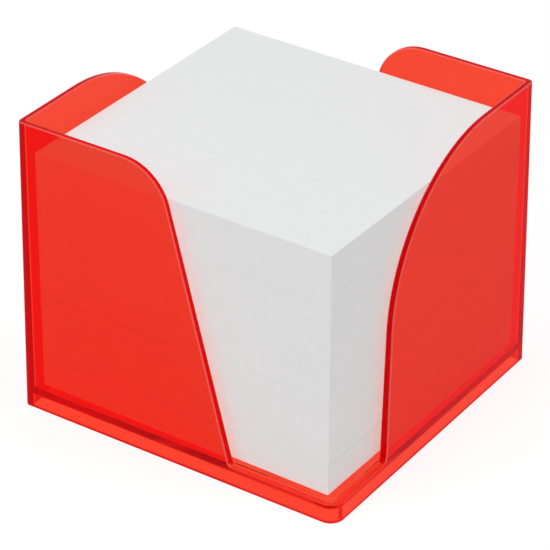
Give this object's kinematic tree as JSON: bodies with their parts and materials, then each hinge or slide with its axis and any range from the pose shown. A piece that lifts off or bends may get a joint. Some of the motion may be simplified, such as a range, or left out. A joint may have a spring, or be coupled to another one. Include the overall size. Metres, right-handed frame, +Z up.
{
  "type": "desk memo box",
  "caption": "Clear red desk box with two L-shaped wings at opposite corners, holding a square pile of loose white note sheets.",
  "frame": {"origin": "middle of the footprint, on the surface that the box stands on", "axes": "+Z up; X along the longer side of the base; the finger openings are at the (+X, -Y) and (-X, +Y) corners"},
  "size_m": [0.0988, 0.095, 0.0856],
  "materials": {
    "clear_red_styrene": "transparent, polished",
    "white_paper": "uncoated, matte"
  },
  "bodies": {
    "box": {"memo_box": "clear_red_styrene"},
    "bottom_sheets": {"sheaf_bottom": "white_paper"},
    "lower_sheets": {"sheaf_lower": "white_paper"},
    "middle_sheets": {"sheaf_middle": "white_paper"},
    "upper_sheets": {"sheaf_upper": "white_paper"},
    "top_sheets": {"sheets_top": "white_paper"}
  },
  "joints": [
    {"name": "lift_bottom_sheets", "type": "slide", "parent": "box", "child": "bottom_sheets", "axis": [0, 0, 1], "range_m": [0, 0.0835]},
    {"name": "lift_lower_sheets", "type": "slide", "parent": "bottom_sheets", "child": "lower_sheets", "axis": [0, 0, 1], "range_m": [0, 0.0748]},
    {"name": "lift_middle_sheets", "type": "slide", "parent": "lower_sheets", "child": "middle_sheets", "axis": [0, 0, 1], "range_m": [0, 0.0594]},
    {"name": "lift_upper_sheets", "type": "slide", "parent": "middle_sheets", "child": "upper_sheets", "axis": [0, 0, 1], "range_m": [0, 0.0555]},
    {"name": "lift_top_sheets", "type": "slide", "parent": "upper_sheets", "child": "top_sheets", "axis": [0, 0, 1], "range_m": [0, 0.0147]}
  ]
}
